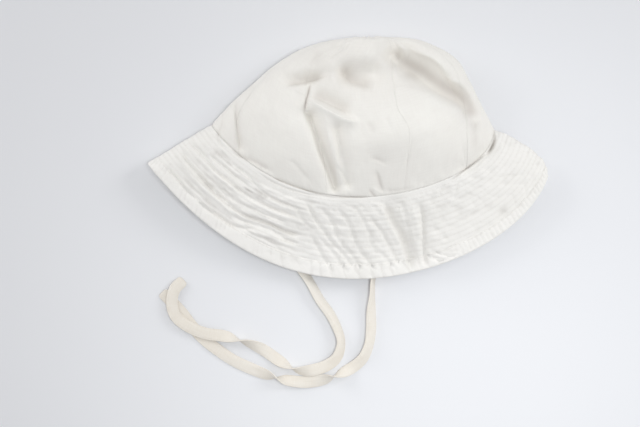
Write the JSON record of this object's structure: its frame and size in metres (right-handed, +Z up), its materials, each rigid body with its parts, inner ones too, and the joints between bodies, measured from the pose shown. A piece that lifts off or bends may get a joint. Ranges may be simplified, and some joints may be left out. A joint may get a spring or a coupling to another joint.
{
  "type": "sun hat",
  "caption": "Child's soft cotton sun hat with a gored crown, a wide quilted brim and tape ties, lying flat on its back.",
  "frame": {"origin": "on the table, under the middle of the hat without its ties", "axes": "+X to the right of the hat as it is seen from its front edge, +Y from the brim's front edge towards the crown's top, +Z up from the table"},
  "size_m": [0.3074, 0.2688, 0.0589],
  "materials": {
    "crown_cotton": "matt plain-weave cotton",
    "brim_cotton": "matt cotton, quilted in rows",
    "tape": "matt folded cotton tape"
  },
  "bodies": {
    "root": {"crown_front": "crown_cotton", "crown_front_left": "crown_cotton", "crown_front_right": "crown_cotton", "crown_back_left": "crown_cotton", "crown_back_right": "crown_cotton", "crown_back": "crown_cotton", "brim": "brim_cotton", "brim_binding": "brim_cotton", "tie_left": "tape", "tie_right": "tape"}
  },
  "joints": []
}
